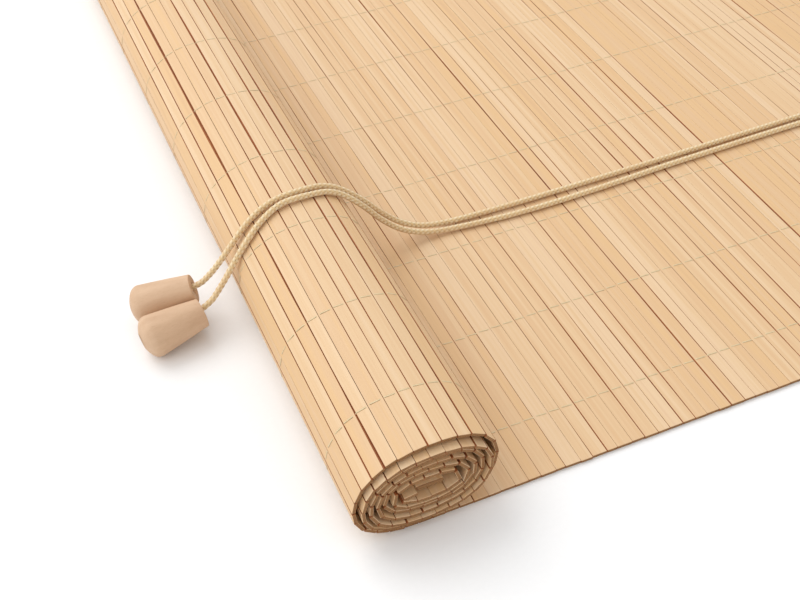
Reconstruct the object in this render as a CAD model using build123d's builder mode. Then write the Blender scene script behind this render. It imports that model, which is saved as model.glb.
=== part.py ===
from build123d import *
import os
from math import atan2, degrees, hypot, pi, radians, sin, cos, sqrt, tan

# A roll-up blind of flat bamboo slats, lying face up and partly rolled.
# X runs along the mat from the roll to the head batten, Y along the slats and Z up.
# The origin is under the middle of the blind, on the surface that it lies on. Lengths are in mm.

# Driving dimensions: the woven mat
blind_width = 600.0           # length of every slat and batten, along Y
woven_length = 1600.0         # the mat unrolled, from the head batten to the bottom lath
slat_width = 6.0
slat_gap = 0.25               # between two slats, where the warp threads cross
slat_thickness = 1.6
slat_edge = 0.3               # bevel along the four long edges of a slat
thread_thickness = 0.3
thread_width = 0.9
thread_pitch = 60.0           # from one warp line to the next

# Driving dimensions: the roll, whose turns are ovals that shrink inwards
roll_turns = 6.25
core_half_width = 11.95       # inner face of the mat at the last turn
core_half_height = 3.86
air_beside_turn = 0.9         # free gap between two turns, at the sides of the oval
air_over_turn = 0.8           # the same, above and below the middle
turn_sink = 0.3               # each turn hangs this much lower than the one around it
roll_squareness = 2.3         # 2 is an ellipse, and more is nearer a rectangle
roll_lean = 0.22              # sideways shift for each mm of height
lath_width = 12.0
lath_thickness = 2.2
lath_edge = 0.55              # rounding of its long edges

# Driving dimensions: the head batten and its hanging plates
batten_width = 28.0
batten_thickness = 9.5
plate_thickness = 1.5
plate_width = 16.0
plate_overhang = 20.0         # past the batten, to the plate's round end
plate_on_batten = 22.0
plate_side_inset = 60.0       # from each end of the batten to a plate's middle
plate_screw_inset = 5.0       # from the plate's square end to its first screw
plate_screw_pitch = 11.0
plate_corner = 2.0
hang_hole_radius = 3.5

# Driving dimensions: screws
screw_radius = 1.5
screw_length = 9.0
screw_tip = 2.0
screw_head_radius = 2.8
screw_head_height = 1.5
screw_rim_height = 0.5        # of the head's straight side, under its dome
screw_slot_width = 0.8
screw_slot_depth = 0.8
hole_clearance = 0.05         # round a screw, a pin or an eyelet, in the hole that it sits in

# Driving dimensions: cords and pulleys
cord_diameter = 3.0
cord_clearance = 0.3          # round a cord, in a groove or a bore
cord_line = -137.5            # middle of the two pull cords, along Y
cord_spacing = 8.0            # from one pull cord to the other, where they leave the pulley box
wheel_thickness = 5.1
wheel_rim_radius = 7.0
groove_bottom_radius = 5.0
pin_radius = 1.5
running_clearance = 0.05      # round a pin, in its wheel's bore
pin_head_radius = 2.6
pin_head_height = 0.7
pin_head_edge = 0.35
box_wall = 1.4
box_lift = 0.4                # between the mat's threads and the box
box_corner = 2.0
wheel_clearance = 0.6         # round a wheel, in its box
cover_thickness = 1.2
cover_on_batten = 16.0
cover_set_back = 0.3          # from the box's face, so that it clears the eyelets
cover_screw_inset = 8.0       # from the cover's far edge to its screws
cover_screw_pitch = 8.0
eyelet_wall = 0.5
eyelet_flange_width = 0.6
eyelet_flange_height = 0.6

# Driving dimensions: the turned tassels and the knots in them
tassel_small_radius = 7.1
tassel_large_radius = 10.5
tassel_flare_length = 25.4    # from the small end to the widest place
tassel_length = 32.0
tassel_edge = 0.4             # bevel of the small end
shoulder_radius = 4.8         # between the flare and the blunt dome
mouth_radius = 3.0            # of the bore, where the cord bends into it
mouth_depth = 4.0
knot_radius = 3.3
knot_length = 6.0
knot_edge = 1.1
knot_clearance = 0.5
knot_bore_depth = 9.0

# The tassels rest on their shoulders, and their cords hold their small ends up: the middle of
# each small end, from the roll's middle, then its heading and the small end's rise in degrees
tassel_spots = {"far": (-52.3, -136.7, 167.7, 13.6), "near": (-52.6, -151.1, 186.8, 5.1)}

# Levels and steps that follow from them
slat_pitch = slat_width + slat_gap
mat_top = thread_thickness + slat_thickness
thread_top = mat_top + thread_thickness
layer_thickness = slat_thickness + 2 * thread_thickness
side_step = layer_thickness + air_beside_turn
height_step = layer_thickness + air_over_turn
outer_half_height = core_half_height + roll_turns * height_step
batten_top = thread_thickness + batten_thickness
STANDING = (Align.CENTER, Align.CENTER, Align.MIN)


# How finely the next slat's place is looked for along the spiral
turn_step = 0.01
halvings = 40


def signed_power(value, power):
    return abs(value) ** power * (1 if value >= 0 else -1)


def middle_height(turn):
    return mat_top + outer_half_height - turn_sink * turn


def turn_point(turn):
    """The mat's inner face after so many turns inwards from the flat, seen along Y."""
    angle = -pi / 2 - 2 * pi * turn
    half_width = core_half_width + (roll_turns - turn) * side_step
    half_height = core_half_height + (roll_turns - turn) * height_step
    rise = half_height * signed_power(sin(angle), 2 / roll_squareness)
    run = half_width * signed_power(cos(angle), 2 / roll_squareness)
    return run + roll_lean * rise, middle_height(turn) + rise


def distance(start, end):
    return hypot(end[0] - start[0], end[1] - start[1])


def next_turn(turn):
    """The turn at which the next gap between slats comes, one slat pitch further on."""
    here = turn_point(turn)
    high = turn
    while distance(here, turn_point(high)) < slat_pitch:
        high += turn_step
    low = high - turn_step
    for _ in range(halvings):
        middle = (low + high) / 2
        if distance(here, turn_point(middle)) < slat_pitch:
            low = middle
        else:
            high = middle
    return high


# The gaps between the rolled slats, on their inner faces, from the flat mat to the bottom lath
turns = [0.0]
while next_turn(turns[-1]) <= roll_turns:
    turns.append(next_turn(turns[-1]))
roll_gaps = [turn_point(turn) for turn in turns]
lath_bottom = middle_height(roll_turns) - lath_thickness / 2
last_run, last_height = roll_gaps[-1]
lath_run = last_run + sqrt(slat_pitch**2 - (lath_bottom - last_height) ** 2)
roll_gaps.append((lath_run, lath_bottom))
roll_links = list(zip(roll_gaps, roll_gaps[1:]))
flat_slat_count = round((woven_length - lath_width) / slat_pitch) - len(roll_links)


def along(start, end):
    length = distance(start, end)
    return (end[0] - start[0]) / length, (end[1] - start[1]) / length


def outward(start, end):
    """From the mat's inner face to its outer face."""
    run, rise = along(start, end)
    return -rise, run


def beside(start, end, forward, out):
    """A point so far along a slat's pitch from its middle, and so far out of its inner face."""
    run, rise = along(start, end)
    out_run, out_rise = outward(start, end)
    middle_run = (start[0] + end[0]) / 2
    middle_rise = (start[1] + end[1]) / 2
    return (
        middle_run + run * forward + out_run * out,
        middle_rise + rise * forward + out_rise * out,
    )


# Places along X: the middle of the blind's box, without its cords, is over the origin
rolled_slat_corners = [
    beside(start, end, side * slat_width / 2, slat_thickness + thread_thickness)
    for start, end in roll_links
    for side in (-1, 1)
]
roll_reach = -min(corner[0] for corner in rolled_slat_corners)
head_reach = (
    roll_gaps[0][0] + flat_slat_count * slat_pitch + slat_gap / 2 + batten_width + plate_overhang
)
roll_x = (roll_reach - head_reach) / 2
flat_start = roll_x + roll_gaps[0][0]
batten_x = roll_x + head_reach - plate_overhang - batten_width
batten_end = batten_x + batten_width
thread_count = int(blind_width // thread_pitch)
thread_lines = [(index - (thread_count - 1) / 2) * thread_pitch for index in range(thread_count)]


def slat_section():
    """A slat's bevelled outline, about its middle."""
    half_width = slat_width / 2
    half_height = slat_thickness / 2
    return [
        (-half_width + slat_edge, -half_height),
        (half_width - slat_edge, -half_height),
        (half_width, -half_height + slat_edge),
        (half_width, half_height - slat_edge),
        (half_width - slat_edge, half_height),
        (-half_width + slat_edge, half_height),
        (-half_width, half_height - slat_edge),
        (-half_width, -half_height + slat_edge),
    ]


# The mat: slats, the lath that ends them in the roll's core, and the warp threads
back_plane = Plane.XZ.offset(-blind_width / 2)
flat_places = [
    Location((flat_start + (index + 0.5) * slat_pitch, thread_thickness + slat_thickness / 2))
    for index in range(flat_slat_count)
]
rolled_places = []
for start, end in roll_links:
    run, rise = beside(start, end, 0, slat_thickness / 2)
    slope = degrees(atan2(end[1] - start[1], end[0] - start[0]))
    rolled_places.append(Location((roll_x + run, rise), slope))

with BuildPart() as flat_slats:
    with BuildSketch(back_plane):
        with Locations(*flat_places):
            Polygon(*slat_section())
    extrude(amount=blind_width)

with BuildPart() as rolled_slats:
    with BuildSketch(back_plane):
        with Locations(*rolled_places):
            Polygon(*slat_section())
    extrude(amount=blind_width)

with BuildPart() as bottom_lath:
    lath_start = roll_x + lath_run + slat_gap
    with BuildSketch(back_plane):
        with Locations((lath_start, lath_bottom)):
            Rectangle(lath_width, lath_thickness, align=(Align.MIN, Align.MIN))
    extrude(amount=blind_width)
    fillet(bottom_lath.edges().filter_by(Axis.Y), lath_edge)

with BuildPart() as under_threads:
    with Locations(*[(flat_start, line, 0) for line in thread_lines]):
        Box(
            batten_end - flat_start,
            thread_width,
            thread_thickness,
            align=(Align.MIN, Align.CENTER, Align.MIN),
        )

# Each upper thread lies on the slats, then goes up, over and down the head batten
with BuildPart() as over_threads:
    climb = batten_x - thread_thickness
    crest = batten_top + thread_thickness
    beyond = batten_end + thread_thickness
    for line in thread_lines:
        with BuildSketch(Plane.XZ.offset(-line - thread_width / 2)):
            with BuildLine():
                Polyline(
                    (flat_start, mat_top),
                    (batten_x, mat_top),
                    (batten_x, batten_top),
                    (batten_end, batten_top),
                    (batten_end, 0),
                    (beyond, 0),
                    (beyond, crest),
                    (climb, crest),
                    (climb, thread_top),
                    (flat_start, thread_top),
                    close=True,
                )
            make_face()
        extrude(amount=thread_width)

# Screws, one form for every place
with BuildPart() as screw:
    with BuildSketch(Plane.XZ):
        with BuildLine():
            Polyline(
                (0, -screw_length),
                (screw_radius, -screw_length + screw_tip),
                (screw_radius, 0),
                (screw_head_radius, 0),
                (screw_head_radius, screw_rim_height),
            )
            EllipticalCenterArc(
                (0, screw_rim_height),
                screw_head_radius,
                screw_head_height - screw_rim_height,
                start_angle=0,
                arc_size=90,
            )
            Line((0, screw_head_height), (0, -screw_length))
        make_face()
    revolve(axis=Axis.Z)
    with Locations((0, 0, screw_head_height - screw_slot_depth)):
        Box(
            screw_slot_width,
            2 * screw_head_radius,
            screw_head_height,
            align=STANDING,
            mode=Mode.SUBTRACT,
        )
screw_hole_radius = screw_radius + hole_clearance

# Hanging plates on the head batten
plate_lines = [blind_width / 2 - plate_side_inset, plate_side_inset - blind_width / 2]
plate_start = batten_end - plate_on_batten
plate_end = batten_end + plate_overhang
hang_hole_x = plate_end - plate_width / 2
plate_screw_runs = [plate_start + plate_screw_inset + plate_screw_pitch * i for i in range(2)]
plate_screw_spots = [(run, line) for line in plate_lines for run in plate_screw_runs]


def hanging_plate(line):
    with BuildPart() as plate:
        with BuildSketch(Plane.XY.offset(batten_top)):
            with Locations((plate_start, line)):
                Rectangle(
                    plate_end - plate_start - plate_width / 2,
                    plate_width,
                    align=(Align.MIN, Align.CENTER),
                )
            with Locations((hang_hole_x, line)):
                Circle(plate_width / 2)
                Circle(hang_hole_radius, mode=Mode.SUBTRACT)
            with Locations(*[(run, line) for run in plate_screw_runs]):
                Circle(screw_hole_radius, mode=Mode.SUBTRACT)
        extrude(amount=plate_thickness)
        corners = plate.edges().filter_by(Axis.Z).sort_by(Axis.X)[:2]
        fillet(corners, plate_corner)
    return plate


plate_screw_seat = batten_top + plate_thickness
with BuildPart() as plate_screws:
    with Locations(*[(run, line, plate_screw_seat) for run, line in plate_screw_spots]):
        add(screw.part)

# Pulley boxes under the head batten: wheels lie flat, and each cord leaves beside its wheel
box_bottom = thread_top + box_lift
cover_bottom = batten_top + thread_thickness
cover_top = cover_bottom + cover_thickness
wheel_bottom = box_bottom + box_wall + wheel_clearance
wheel_middle = wheel_bottom + wheel_thickness / 2
groove_radius = cord_diameter / 2 + cord_clearance
cord_offset = groove_bottom_radius + groove_radius
box_end = batten_x - 2 * thread_thickness
box_depth = 2 * (box_wall + wheel_clearance + wheel_rim_radius)
box_start = box_end - box_depth
cover_start = box_start + cover_set_back
wheel_x = box_start + box_depth / 2
wheel_room = wheel_rim_radius + wheel_clearance
eyelet_radius = cord_diameter / 2 + cord_clearance + eyelet_wall
eyelet_flange_radius = eyelet_radius + eyelet_flange_width

cord_exits = {"near": cord_line - cord_spacing / 2, "far": cord_line + cord_spacing / 2}
lone_exit = -cord_line
wheel_lines = {
    "near": cord_exits["near"] - cord_offset,
    "far": cord_exits["far"] + cord_offset,
    "lone": lone_exit + cord_offset,
}
# Each box: its cord exits, its wheels and the inner sides of its walls, along Y
pair_box_room = (wheel_lines["near"] - wheel_room, wheel_lines["far"] + wheel_room)
lone_box_room = (lone_exit - eyelet_flange_radius, wheel_lines["lone"] + wheel_room)


def cover_screw_lines(room):
    middle = (room[0] + room[1]) / 2
    return [middle - cover_screw_pitch / 2, middle + cover_screw_pitch / 2]


cover_screw_x = batten_x + cover_on_batten - cover_screw_inset
cover_screw_spots = [
    (cover_screw_x, line)
    for room in (pair_box_room, lone_box_room)
    for line in cover_screw_lines(room)
]


def pulley_box(room, wheels, exits):
    """An open tray that holds the wheels, with a round hole for each cord."""
    with BuildPart() as box:
        with BuildSketch(Plane.XY.offset(box_bottom)):
            with Locations((box_start, room[0] - box_wall)):
                Rectangle(
                    box_depth, room[1] - room[0] + 2 * box_wall, align=(Align.MIN, Align.MIN)
                )
        extrude(amount=cover_bottom - box_bottom)
        fillet(box.edges().filter_by(Axis.Z), box_corner)
        with BuildSketch(Plane.XY.offset(box_bottom + box_wall)):
            with Locations((box_start + box_wall, room[0])):
                Rectangle(
                    box_depth - 2 * box_wall, room[1] - room[0], align=(Align.MIN, Align.MIN)
                )
        extrude(amount=cover_bottom, mode=Mode.SUBTRACT)
        with BuildSketch(Plane.XY.offset(box_bottom)):
            with Locations(*[(wheel_x, line) for line in wheels]):
                Circle(pin_radius + hole_clearance)
        extrude(amount=box_wall, mode=Mode.SUBTRACT)
        with BuildSketch(Plane.YZ.offset(box_start)):
            with Locations(*[(line, wheel_middle) for line in exits]):
                Circle(eyelet_radius + hole_clearance)
        extrude(amount=box_wall, mode=Mode.SUBTRACT)
    return box


def pulley_cover(room, wheels):
    """A steel plate that closes the tray and carries it on the batten."""
    with BuildPart() as cover:
        with BuildSketch(Plane.XY.offset(cover_bottom)):
            with Locations((cover_start, room[0] - box_wall)):
                Rectangle(
                    batten_x + cover_on_batten - cover_start,
                    room[1] - room[0] + 2 * box_wall,
                    align=(Align.MIN, Align.MIN),
                )
        extrude(amount=cover_thickness)
        fillet(cover.edges().filter_by(Axis.Z), box_corner)
        with BuildSketch(Plane.XY.offset(cover_bottom)):
            with Locations(*[(wheel_x, line) for line in wheels]):
                Circle(pin_radius + hole_clearance)
            with Locations(*[(cover_screw_x, line) for line in cover_screw_lines(room)]):
                Circle(screw_hole_radius)
        extrude(amount=cover_thickness, mode=Mode.SUBTRACT)
    return cover


with BuildPart() as cover_screws:
    with Locations(*[(run, line, cover_top) for run, line in cover_screw_spots]):
        add(screw.part)

with BuildPart() as wheel:
    with BuildSketch(Plane.XZ):
        with Locations(((pin_radius + running_clearance + wheel_rim_radius) / 2, 0)):
            Rectangle(wheel_rim_radius - pin_radius - running_clearance, wheel_thickness)
        with Locations((cord_offset, 0)):
            Circle(groove_radius, mode=Mode.SUBTRACT)
            Rectangle(
                wheel_rim_radius,
                2 * groove_radius,
                align=(Align.MIN, Align.CENTER),
                mode=Mode.SUBTRACT,
            )
    revolve(axis=Axis.Z)


def placed_wheel(line):
    with BuildPart() as placed:
        with Locations((wheel_x, line, wheel_middle)):
            add(wheel.part)
    return placed


with BuildPart() as wheel_pins:
    with BuildSketch(Plane.XY.offset(box_bottom)):
        with Locations(*[(wheel_x, line) for line in wheel_lines.values()]):
            Circle(pin_radius)
    extrude(amount=cover_top - box_bottom)
    with BuildSketch(Plane.XY.offset(cover_top)):
        with Locations(*[(wheel_x, line) for line in wheel_lines.values()]):
            Circle(pin_head_radius)
    extrude(amount=pin_head_height)
    fillet(wheel_pins.edges().group_by(Axis.Z)[-1], pin_head_edge)

eyelet_lines = [cord_exits["near"], cord_exits["far"], lone_exit]
with BuildPart() as eyelets:
    with BuildSketch(Plane.YZ.offset(box_start)):
        with Locations(*[(line, wheel_middle) for line in eyelet_lines]):
            Circle(eyelet_radius)
            Circle(eyelet_radius - eyelet_wall, mode=Mode.SUBTRACT)
    extrude(amount=box_wall)
    with BuildSketch(Plane.YZ.offset(box_start)):
        with Locations(*[(line, wheel_middle) for line in eyelet_lines]):
            Circle(eyelet_flange_radius)
            Circle(eyelet_radius - eyelet_wall, mode=Mode.SUBTRACT)
    extrude(amount=-eyelet_flange_height)

with BuildPart() as head_batten:
    with Locations((batten_x, 0, thread_thickness)):
        Box(
            batten_width,
            blind_width,
            batten_thickness,
            align=(Align.MIN, Align.CENTER, Align.MIN),
        )
    with Locations(*[(run, line, batten_top) for run, line in plate_screw_spots]):
        Hole(screw_hole_radius, depth=screw_length - plate_thickness + hole_clearance)
    with Locations(*[(run, line, batten_top) for run, line in cover_screw_spots]):
        Hole(screw_hole_radius, depth=screw_length - cover_thickness + hole_clearance)

# Tassels: a flared bell with a domed end, bored for the cord and for the knot that holds it
bore_radius = cord_diameter / 2 + cord_clearance
knot_start = tassel_length - knot_bore_depth
shoulder_line = tassel_large_radius - shoulder_radius   # of the shoulder arc's middle
dome_rise = tassel_length - tassel_flare_length
dome_radius = (dome_rise**2 + shoulder_line**2 - shoulder_radius**2) / (
    2 * (dome_rise - shoulder_radius)
)
dome_x = tassel_length - dome_radius
dome_share = degrees(atan2(shoulder_line, tassel_flare_length - dome_x))


def tassel_plane(name):
    """X from the small end's middle along the tassel, as it rests on its shoulder."""
    run, line, heading, rise = tassel_spots[name]
    lift = (
        tassel_flare_length * sin(radians(rise))
        + shoulder_line * cos(radians(rise))
        + shoulder_radius
    )
    direction = Vector(
        cos(radians(heading)) * cos(radians(rise)),
        sin(radians(heading)) * cos(radians(rise)),
        -sin(radians(rise)),
    )
    across = Vector(-sin(radians(heading)), cos(radians(heading)), 0)
    return Plane((roll_x + run, line, lift), x_dir=direction, z_dir=across)


def tassel(name):
    plane = tassel_plane(name)
    with BuildPart() as bell:
        with BuildSketch(plane):
            with BuildLine():
                Polyline(
                    (0, 0),
                    (0, tassel_small_radius - tassel_edge),
                    (tassel_edge, tassel_small_radius),
                )
                Line((tassel_edge, tassel_small_radius), (tassel_flare_length, tassel_large_radius))
                CenterArc(
                    (tassel_flare_length, shoulder_line),
                    shoulder_radius,
                    start_angle=dome_share,
                    arc_size=90 - dome_share,
                )
                CenterArc((dome_x, 0), dome_radius, start_angle=0, arc_size=dome_share)
                Line((tassel_length, 0), (0, 0))
            make_face()
        revolve(axis=Axis(plane.origin, plane.x_dir))
        with BuildSketch(plane):
            Rectangle(tassel_length, bore_radius, align=(Align.MIN, Align.MIN))
            Polygon((0, 0), (mouth_depth, 0), (mouth_depth, bore_radius), (0, mouth_radius), align=None)
            with Locations((knot_start, 0)):
                Rectangle(
                    knot_bore_depth,
                    knot_radius + knot_clearance,
                    align=(Align.MIN, Align.MIN),
                )
        revolve(axis=Axis(plane.origin, plane.x_dir), mode=Mode.SUBTRACT)
    return bell


def knot(name):
    """The knot at a cord's end, against the shoulder in its tassel."""
    plane = tassel_plane(name)
    seat = plane.origin + plane.x_dir * knot_start
    with BuildPart() as lump:
        with BuildSketch(Plane(seat, z_dir=plane.x_dir)):
            Circle(knot_radius)
        extrude(amount=knot_length)
        fillet(lump.edges(), knot_edge)
    return lump


# Each pull cord's route, from its wheel to its knot. The points over the mat and the roll are
# chosen by hand, with X from the roll's middle
cord_level = thread_top + cord_diameter / 2
cord_bends = {
    "far": [
        (234.0, -134.2, cord_level),
        (150.0, -133.6, cord_level),
        (96.0, -132.4, cord_level),
        (73.0, -131.0, 4.6),
        (59.5, -130.0, 10.6),
        (48.5, -129.2, 21.4),
        (38.2, -128.4, 34.4),
        (23.8, -125.9, 45.9),
        (7.5, -128.9, 49.5),
        (-7.1, -129.6, 48.8),
        (-20.0, -133.5, 44.0),
        (-29.7, -137.2, 36.8),
        (-37.4, -138.6, 29.3),
        (-43.7, -138.1, 22.6),
    ],
    "near": [
        (231.0, -139.2, cord_level),
        (168.0, -141.6, cord_level),
        (122.0, -141.4, cord_level),
        (94.0, -138.6, cord_level),
        (71.0, -136.2, 4.8),
        (57.5, -135.4, 10.8),
        (46.5, -134.8, 21.4),
        (37.2, -134.2, 34.4),
        (24.8, -131.0, 45.4),
        (9.5, -133.9, 49.3),
        (-3.4, -133.9, 49.3),
        (-15.4, -139.1, 46.0),
        (-24.1, -144.1, 41.3),
        (-30.8, -145.5, 34.1),
        (-38.8, -147.0, 23.8),
    ],
}
exit_lead = 4 * cord_diameter       # straight out of the eyelet
landing_lead = 12 * cord_diameter   # from the eyelet to the mat
bore_lead = cord_diameter / 2       # from the last bend to the tassel
arc_share = 0.45                    # of the shorter run at a corner, which its arc takes


def cord_points(name):
    line = cord_exits[name]
    plane = tassel_plane(name)
    points = [
        Vector(wheel_x, line, wheel_middle),
        Vector(box_start - exit_lead, line, wheel_middle),
        Vector(box_start - landing_lead, line, cord_level),
    ]
    points += [Vector(roll_x + run, y, z) for run, y, z in cord_bends[name]]
    points.append(plane.origin - plane.x_dir * bore_lead)
    points.append(plane.origin + plane.x_dir * knot_start)
    return points


def bend_radii(points):
    """As large an arc at each corner as its two runs allow."""
    radii = []
    for before, corner, after in zip(points, points[1:], points[2:]):
        turn = radians((corner - before).get_angle(after - corner))
        shorter = min((corner - before).length, (after - corner).length)
        radii.append(arc_share * shorter / tan(turn / 2))
    return radii


def pull_cord(name):
    points = cord_points(name)
    radii = bend_radii(points)
    with BuildPart() as cord:
        with BuildLine():
            route = FilletPolyline(*points, radius=radii)
        with BuildSketch(Plane(route @ 0, z_dir=route % 0)):
            Circle(cord_diameter / 2)
        sweep()
    tube_volume = pi * cord_diameter**2 / 4 * route.length
    print(name, "cord length", round(route.length, 1))
    print("  radii", [round(radius, 1) for radius in radii])
    print("  volume over section times length", round(cord.part.volume / tube_volume, 4))
    return cord


pieces = {
    "flat_slats": flat_slats,
    "rolled_slats": rolled_slats,
    "bottom_lath": bottom_lath,
    "under_threads": under_threads,
    "over_threads": over_threads,
    "head_batten": head_batten,
    "hanging_plate_far": hanging_plate(plate_lines[0]),
    "hanging_plate_near": hanging_plate(plate_lines[1]),
    "plate_screws": plate_screws,
    "pair_pulley_box": pulley_box(
        pair_box_room, [wheel_lines["near"], wheel_lines["far"]], list(cord_exits.values())
    ),
    "pair_pulley_cover": pulley_cover(pair_box_room, [wheel_lines["near"], wheel_lines["far"]]),
    "lone_pulley_box": pulley_box(lone_box_room, [wheel_lines["lone"]], [lone_exit]),
    "lone_pulley_cover": pulley_cover(lone_box_room, [wheel_lines["lone"]]),
    "cover_screws": cover_screws,
    "wheel_pins": wheel_pins,
    "eyelets": eyelets,
}
for place, line in wheel_lines.items():
    pieces["pulley_wheel_" + place] = placed_wheel(line)
for place in tassel_spots:
    pieces["tassel_" + place] = tassel(place)
    pieces["cord_knot_" + place] = knot(place)
    pieces["pull_cord_" + place] = pull_cord(place)

os.makedirs("parts", exist_ok=True)
for label, piece in pieces.items():
    piece.part.label = label
    export_step(piece.part, "parts/" + label + ".step")
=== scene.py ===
import bmesh
import bpy
import numpy as np
from math import asin, atan2, cos, pi, radians, sin
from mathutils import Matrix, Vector


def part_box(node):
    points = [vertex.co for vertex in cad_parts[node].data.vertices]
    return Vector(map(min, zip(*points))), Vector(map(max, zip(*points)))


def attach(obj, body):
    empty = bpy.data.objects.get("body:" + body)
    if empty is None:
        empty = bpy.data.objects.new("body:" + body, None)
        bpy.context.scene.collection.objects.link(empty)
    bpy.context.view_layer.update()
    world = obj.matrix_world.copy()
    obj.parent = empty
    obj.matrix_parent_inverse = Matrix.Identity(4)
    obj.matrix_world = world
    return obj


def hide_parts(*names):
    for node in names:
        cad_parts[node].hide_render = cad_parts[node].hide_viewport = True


# A bamboo roll-up blind, partly rolled, with two braided pull cords and their turned tassels.
# X runs from the roll to the head batten, Y along the slats and Z up. Lengths are in metres.
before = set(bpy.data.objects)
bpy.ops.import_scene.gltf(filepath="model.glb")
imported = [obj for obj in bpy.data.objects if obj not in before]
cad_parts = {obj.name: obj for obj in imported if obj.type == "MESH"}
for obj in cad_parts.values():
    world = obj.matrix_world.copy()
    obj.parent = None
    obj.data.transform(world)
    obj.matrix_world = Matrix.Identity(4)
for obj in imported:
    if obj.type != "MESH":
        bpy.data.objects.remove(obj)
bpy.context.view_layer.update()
MM = 0.001

# The roll's middle, which the camera and the cords are placed from
ROLL_REACH = 32.65 * MM       # from the roll's outermost slat to its middle
roll_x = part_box("rolled_slats")[0].x + ROLL_REACH


# Camera
CAMERA_PLACE = (roll_x - 113.4 * MM, -599.8 * MM, 421.2 * MM)
CAMERA_TURN = (47.12, 3.147, -22.65)      # degrees about X, Y and Z
CAMERA_LENS = 56.9

camera_data = bpy.data.cameras.new("camera")
camera_data.lens = CAMERA_LENS
camera = bpy.data.objects.new("camera", camera_data)
camera.location = CAMERA_PLACE
camera.rotation_euler = [radians(turn) for turn in CAMERA_TURN]
bpy.context.scene.collection.objects.link(camera)
bpy.context.scene.camera = camera


# Mesh helpers
def make_piece(name, vertices, faces, materials, smooth=True, face_materials=None):
    """A mesh object in the scene, from its vertices and faces."""
    mesh = bpy.data.meshes.new(name)
    mesh.from_pydata(np.asarray(vertices).tolist(), [], faces)
    for material in materials:
        mesh.materials.append(material)
    if face_materials is not None:
        mesh.polygons.foreach_set("material_index", face_materials)
    mesh.polygons.foreach_set("use_smooth", [smooth] * len(mesh.polygons))
    mesh.update()
    piece = bpy.data.objects.new(name, mesh)
    bpy.context.scene.collection.objects.link(piece)
    return piece


def tube_faces(rings, sides, first=0):
    """Quads between neighbouring closed rings of vertices, and a cap on each end."""
    quads = []
    for ring in range(rings - 1):
        start = first + ring * sides
        for side in range(sides):
            other = (side + 1) % sides
            quads.append((start + side, start + other, start + sides + other, start + sides + side))
    last = first + (rings - 1) * sides
    caps = [tuple(range(first, first + sides))[::-1], tuple(range(last, last + sides))]
    return quads, caps


def waves(rng, places, periods):
    """A gentle seeded wave along the places, within about -1 and 1."""
    total = np.zeros(len(places))
    for period in periods:
        phase = rng.uniform(0, 2 * pi)
        total += rng.uniform(0.4, 1.0) * np.sin(2 * pi * places / period + phase)
    return total / len(periods)


# Material helpers
MIX_SHARE = 0                 # the Mix node's sockets, for colours
MIX_FIRST = 6
MIX_SECOND = 7
MIX_COLOUR = 2


class Nodes:
    """A material's node tree, with a short call for each kind of node."""

    def __init__(self, name, **settings):
        self.material = bpy.data.materials.new(name)
        self.material.use_nodes = True
        self.tree = self.material.node_tree
        self.shader = self.tree.nodes["Principled BSDF"]
        for socket, value in settings.items():
            self.shader.inputs[socket.replace("_", " ")].default_value = value

    def add(self, kind, inputs=(), **settings):
        node = self.tree.nodes.new(kind)
        for key, value in settings.items():
            setattr(node, key, value)
        for socket, value in dict(inputs).items():
            if isinstance(value, bpy.types.NodeSocket):
                self.tree.links.new(value, node.inputs[socket])
            else:
                node.inputs[socket].default_value = value
        return node

    def attribute(self, name):
        return self.add("ShaderNodeAttribute", attribute_name=name)

    def place(self):
        return self.add("ShaderNodeTexCoord").outputs["Object"]

    def scaled(self, vector, scale):
        node = self.add("ShaderNodeVectorMath", {0: vector, 1: scale}, operation="MULTIPLY")
        return node.outputs["Vector"]

    def noise(self, vector, scale=1.0, detail=3.0, roughness=0.55):
        inputs = {"Vector": vector, "Scale": scale, "Detail": detail, "Roughness": roughness}
        return self.add("ShaderNodeTexNoise", inputs).outputs["Fac"]

    def math(self, operation, first, second):
        node = self.add("ShaderNodeMath", {0: first, 1: second}, operation=operation)
        return node.outputs["Value"]

    def span(self, value, low, high, to_low=0.0, to_high=1.0):
        inputs = {
            "Value": value,
            "From Min": low,
            "From Max": high,
            "To Min": to_low,
            "To Max": to_high,
        }
        return self.add("ShaderNodeMapRange", inputs).outputs["Result"]

    def ramp(self, value, stops):
        node = self.add("ShaderNodeValToRGB", {"Fac": value})
        elements = node.color_ramp.elements
        for index, (position, colour) in enumerate(stops):
            stop = elements[index] if index < 2 else elements.new(position)
            stop.position = position
            stop.color = (*colour, 1)
        return node.outputs["Color"]

    def blend(self, share, first, second):
        node = self.add("ShaderNodeMix", data_type="RGBA")
        self.tree.links.new(share, node.inputs[MIX_SHARE])
        for index, value in ((MIX_FIRST, first), (MIX_SECOND, second)):
            if isinstance(value, bpy.types.NodeSocket):
                self.tree.links.new(value, node.inputs[index])
            else:
                node.inputs[index].default_value = (*value, 1)
        return node.outputs[MIX_COLOUR]

    def finish(self, colour=None, roughness=None, height=None, depth=0.0):
        if colour is not None:
            self.tree.links.new(colour, self.shader.inputs["Base Color"])
        if roughness is not None:
            self.tree.links.new(roughness, self.shader.inputs["Roughness"])
        if height is not None:
            bump = self.add("ShaderNodeBump", {"Height": height, "Distance": depth})
            self.tree.links.new(bump.outputs["Normal"], self.shader.inputs["Normal"])
        return self.material


def linear(red, green, blue):
    """A colour named in 0 to 255 as a screen shows it, as the shaders take it."""
    values = []
    for part in (red, green, blue):
        share = part / 255
        values.append(share / 12.92 if share < 0.04045 else ((share + 0.055) / 1.055) ** 2.4)
    return tuple(values)


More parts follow.
